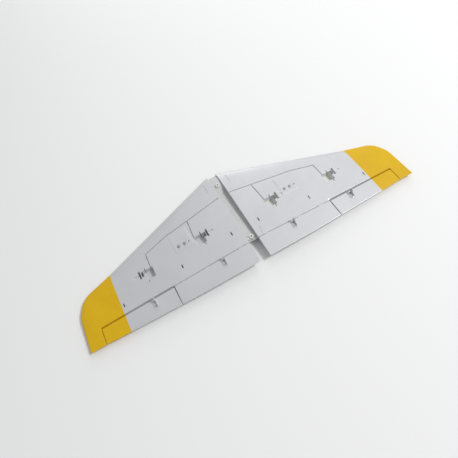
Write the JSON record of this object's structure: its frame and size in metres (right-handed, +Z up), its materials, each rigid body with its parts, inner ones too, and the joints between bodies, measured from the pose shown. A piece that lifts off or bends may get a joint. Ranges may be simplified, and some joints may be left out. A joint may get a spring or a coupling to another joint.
{
  "type": "rc aeroplane wing set",
  "caption": "Two-panel foam wing for a radio-controlled aeroplane, underside up, with hinged flaps and ailerons, control horns, servo pockets, cable channels and a bolt-down centre joiner.",
  "frame": {"origin": "middle of the wing's outline, on the surface that its upper skin lies on", "axes": "+X along the span towards the right-hand panel as it lies, +Y towards the leading edge, +Z up, out of the underside skin"},
  "size_m": [0.75, 0.2428, 0.0348],
  "materials": {
    "silver_foam": "satin",
    "white_foam": "matte",
    "white_nylon": "satin",
    "grey_plastic": "satin",
    "carbon": "satin",
    "glass_fibre": "satin",
    "steel": "satin"
  },
  "bodies": {
    "wing": {"right_wing_panel": "silver_foam", "right_flap_wing_leaves": "grey_plastic", "right_flap_hinge_pins": "steel", "right_aileron_wing_leaves": "grey_plastic", "right_aileron_hinge_pins": "steel", "right_spar_sleeve": "glass_fibre", "right_rear_spar_rod": "carbon", "right_hardpoint_plate": "grey_plastic", "right_hardpoint_screws": "steel", "left_wing_panel": "silver_foam", "left_flap_wing_leaves": "grey_plastic", "left_flap_hinge_pins": "steel", "left_aileron_wing_leaves": "grey_plastic", "left_aileron_hinge_pins": "steel", "left_spar_sleeve": "glass_fibre", "left_rear_spar_rod": "carbon", "left_hardpoint_plate": "grey_plastic", "left_hardpoint_screws": "steel", "centre_joiner": "white_foam", "front_bolt_sleeve": "white_nylon", "rear_bolt_sleeve": "white_nylon", "main_spar_tube": "carbon"},
    "right_flap": {"right_flap": "silver_foam", "right_flap_surface_leaves": "grey_plastic", "right_flap_horn": "grey_plastic", "right_flap_horn_backplate": "white_nylon", "right_flap_horn_screws": "steel"},
    "right_aileron": {"right_aileron": "silver_foam", "right_aileron_surface_leaves": "grey_plastic", "right_aileron_horn": "grey_plastic", "right_aileron_horn_backplate": "white_nylon", "right_aileron_horn_screws": "steel"},
    "left_flap": {"left_flap": "silver_foam", "left_flap_surface_leaves": "grey_plastic", "left_flap_horn": "grey_plastic", "left_flap_horn_backplate": "white_nylon", "left_flap_horn_screws": "steel"},
    "left_aileron": {"left_aileron": "silver_foam", "left_aileron_surface_leaves": "grey_plastic", "left_aileron_horn": "grey_plastic", "left_aileron_horn_backplate": "white_nylon", "left_aileron_horn_screws": "steel"}
  },
  "joints": [
    {"name": "right_flap_hinge", "type": "hinge", "parent": "wing", "child": "right_flap", "pos_m": [0.0973, -0.07626, 0.0174], "axis": [-0.9995, 0.0105, 0.0305], "range_deg": [0, 40]},
    {"name": "right_aileron_hinge", "type": "hinge", "parent": "wing", "child": "right_aileron", "pos_m": [0.2638, -0.07802, 0.00691], "axis": [-0.9998, 0.0105, 0.0186], "range_deg": [-25, 25]},
    {"name": "left_flap_hinge", "type": "hinge", "parent": "wing", "child": "left_flap", "pos_m": [-0.0973, -0.07626, 0.0174], "axis": [-0.9995, -0.0105, -0.0305], "range_deg": [0, 40]},
    {"name": "left_aileron_hinge", "type": "hinge", "parent": "wing", "child": "left_aileron", "pos_m": [-0.2638, -0.07802, 0.00691], "axis": [-0.9998, -0.0105, -0.0186], "range_deg": [-25, 25]}
  ]
}
